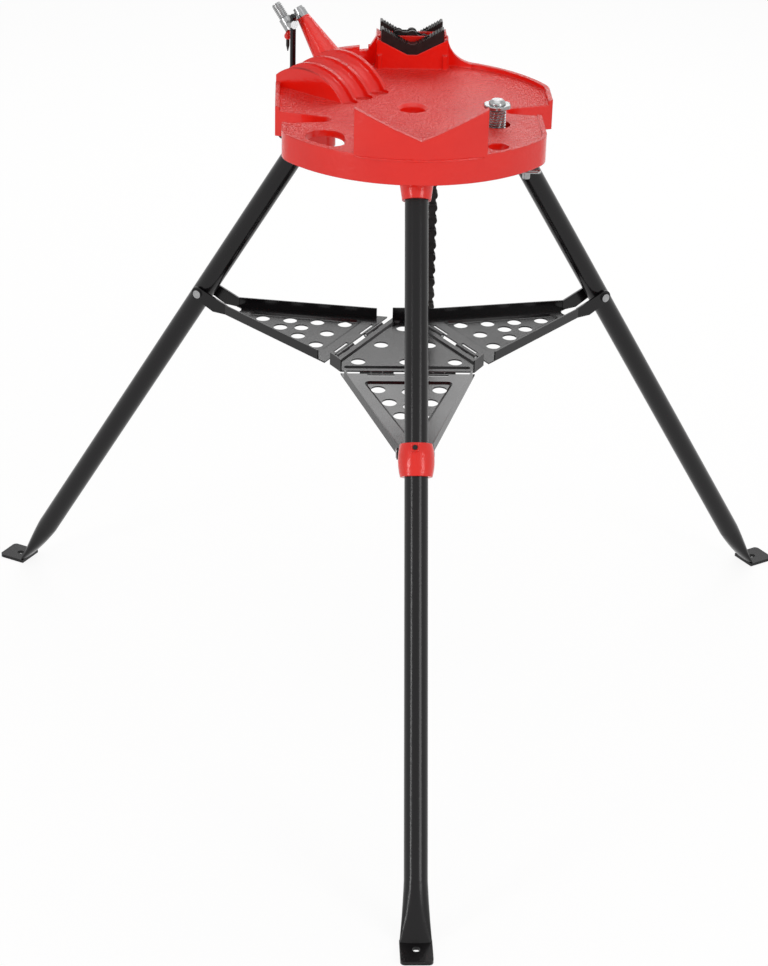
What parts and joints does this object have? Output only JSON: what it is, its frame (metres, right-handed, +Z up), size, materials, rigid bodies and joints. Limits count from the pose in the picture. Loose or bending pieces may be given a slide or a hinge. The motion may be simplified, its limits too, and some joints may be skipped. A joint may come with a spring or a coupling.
{
  "type": "tripod pipe vise stand",
  "caption": "Folding tripod stand with a round cast-iron vise table: V pipe rest, toothed chain-vise jaws, bender grooves, tool slots and a folding perforated tray.",
  "frame": {"origin": "on the floor, under the middle of the bounding box of the three feet; the tripod axis stands 167.2 mm behind it along +Y", "axes": "+Z up; +Y from the pipe rest towards the vise jaws; +X to the right of someone facing the jaws over the pipe rest"},
  "size_m": [1.2286, 1.0656, 0.9444],
  "materials": {
    "red_paint": "gloss enamel",
    "black_paint": "gloss enamel",
    "black_oxide": "satin oxide",
    "zinc_steel": "zinc plated"
  },
  "bodies": {
    "table_and_front_leg": {"base_casting": "red_paint", "front_jaw": "black_oxide", "rear_jaw": "black_oxide", "jaw_screws": "zinc_steel", "arm_collar": "zinc_steel", "hub_trunnion": "zinc_steel", "chain_end_links": "black_oxide", "chain_end_pins": "black_oxide", "front_leg": "black_paint", "socket_pin": "zinc_steel", "hinge_bolts": "zinc_steel", "hinge_nuts": "zinc_steel", "hinge_washers": "zinc_steel", "latch_tab": "black_oxide", "latch_rivet": "zinc_steel", "clip_pin": "zinc_steel", "hairpin_clip": "zinc_steel"},
    "left_leg": {"left_leg": "black_paint", "left_tray_bolt": "zinc_steel"},
    "right_leg": {"right_leg": "black_paint", "right_tray_bolt": "zinc_steel"},
    "tray_centre": {"tray_centre": "black_paint", "tray_hinge_pins": "zinc_steel"},
    "tray_wing_left": {"tray_wing_left": "black_paint", "wing_rivets_left": "zinc_steel"},
    "tray_wing_right": {"tray_wing_right": "black_paint", "wing_rivets_right": "zinc_steel"},
    "tray_wing_front": {"tray_wing_front": "black_paint", "wing_rivets_front": "zinc_steel"},
    "slide_collar": {"slide_collar": "red_paint", "collar_set_screw": "zinc_steel", "collar_lug_pin": "zinc_steel"},
    "ceiling_brace_screw": {"ceiling_brace_screw": "zinc_steel"},
    "screw_hub": {"screw_hub": "zinc_steel", "hub_knob": "red_paint", "knob_pin": "black_oxide"},
    "chain_screw": {"chain_screw": "zinc_steel"},
    "handle_bar": {"handle_bar": "black_oxide"},
    "chain_1": {"chain_links_1": "black_oxide", "chain_pins_1": "black_oxide"},
    "chain_2": {"chain_links_2": "black_oxide", "chain_pins_2": "black_oxide"},
    "chain_3": {"chain_links_3": "black_oxide", "chain_pins_3": "black_oxide"},
    "chain_4": {"chain_links_4": "black_oxide", "chain_pins_4": "black_oxide"},
    "chain_5": {"chain_links_5": "black_oxide", "chain_pins_5": "black_oxide"},
    "chain_6": {"chain_links_6": "black_oxide", "chain_pins_6": "black_oxide"}
  },
  "joints": [
    {"name": "left_leg_fold", "type": "hinge", "parent": "table_and_front_leg", "child": "left_leg", "pos_m": [-0.1325, 0.24372, 0.803], "axis": [-0.5, -0.866, 0], "range_deg": [0, 30]},
    {"name": "right_leg_fold", "type": "hinge", "parent": "table_and_front_leg", "child": "right_leg", "pos_m": [0.1325, 0.24372, 0.803], "axis": [-0.5, 0.866, 0], "range_deg": [0, 30]},
    {"name": "tray_lift", "type": "slide", "parent": "table_and_front_leg", "child": "tray_centre", "axis": [0, 0, 1], "range_m": [0, 0.2072]},
    {"name": "tray_wing_left_fold", "type": "hinge", "parent": "tray_centre", "child": "tray_wing_left", "pos_m": [-0.06322, 0.20372, 0.50905], "axis": [-0.5, -0.866, 0], "range_deg": [0, 73.14]},
    {"name": "tray_wing_right_fold", "type": "hinge", "parent": "tray_centre", "child": "tray_wing_right", "pos_m": [0.06322, 0.20372, 0.50905], "axis": [-0.5, 0.866, 0], "range_deg": [0, 73.14]},
    {"name": "tray_wing_front_fold", "type": "hinge", "parent": "tray_centre", "child": "tray_wing_front", "pos_m": [0, 0.09422, 0.50905], "axis": [1, 0, 0], "range_deg": [0, 35.15]},
    {"name": "collar_slide", "type": "slide", "parent": "table_and_front_leg", "child": "slide_collar", "axis": [0, 0.5358, 0.8444], "range_m": [0, 0.0853]},
    {"name": "ceiling_brace_screw_travel", "type": "slide", "parent": "table_and_front_leg", "child": "ceiling_brace_screw", "axis": [0, 0, 1], "range_m": [-0.025, 0.015]},
    {"name": "hub_swivel", "type": "hinge", "parent": "table_and_front_leg", "child": "screw_hub", "pos_m": [-0.16493, 0.34822, 0.91698], "axis": [-0.8478, -0.2409, -0.4724], "range_deg": [-15, 15]},
    {"name": "chain_screw_travel", "type": "slide", "parent": "screw_hub", "child": "chain_screw", "axis": [-0.5301, 0.406, 0.7444], "range_m": [0, 0.012]},
    {"name": "handle_bar_slide", "type": "slide", "parent": "screw_hub", "child": "handle_bar", "axis": [0, 0, 1], "range_m": [0, 0.045]},
    {"name": "chain_hinge_1", "type": "hinge", "parent": "table_and_front_leg", "child": "chain_1", "pos_m": [0.0421, 0.36222, 0.82008], "axis": [0, 1, 0], "range_deg": [-25, 25]},
    {"name": "chain_hinge_2", "type": "hinge", "parent": "chain_1", "child": "chain_2", "pos_m": [0.0421, 0.36222, 0.76293], "axis": [0, 1, 0], "range_deg": [-25, 25]},
    {"name": "chain_hinge_3", "type": "hinge", "parent": "chain_2", "child": "chain_3", "pos_m": [0.0421, 0.36222, 0.70578], "axis": [0, 1, 0], "range_deg": [-25, 25]},
    {"name": "chain_hinge_4", "type": "hinge", "parent": "chain_3", "child": "chain_4", "pos_m": [0.0421, 0.36222, 0.64863], "axis": [0, 1, 0], "range_deg": [-25, 25]},
    {"name": "chain_hinge_5", "type": "hinge", "parent": "chain_4", "child": "chain_5", "pos_m": [0.0421, 0.36222, 0.59148], "axis": [0, 1, 0], "range_deg": [-25, 25]},
    {"name": "chain_hinge_6", "type": "hinge", "parent": "chain_5", "child": "chain_6", "pos_m": [0.0421, 0.36222, 0.53433], "axis": [0, 1, 0], "range_deg": [-25, 25]}
  ],
  "couplings": [
    {"joint": "right_leg_fold", "follows": "left_leg_fold", "ratio": 1},
    {"joint": "tray_lift", "follows": "left_leg_fold", "m_per_rad": 0.39572},
    {"joint": "tray_wing_left_fold", "follows": "left_leg_fold", "ratio": 2.4381},
    {"joint": "tray_wing_right_fold", "follows": "left_leg_fold", "ratio": 2.4381},
    {"joint": "tray_wing_front_fold", "follows": "left_leg_fold", "ratio": 1.1716},
    {"joint": "collar_slide", "follows": "left_leg_fold", "m_per_rad": 0.16291}
  ]
}
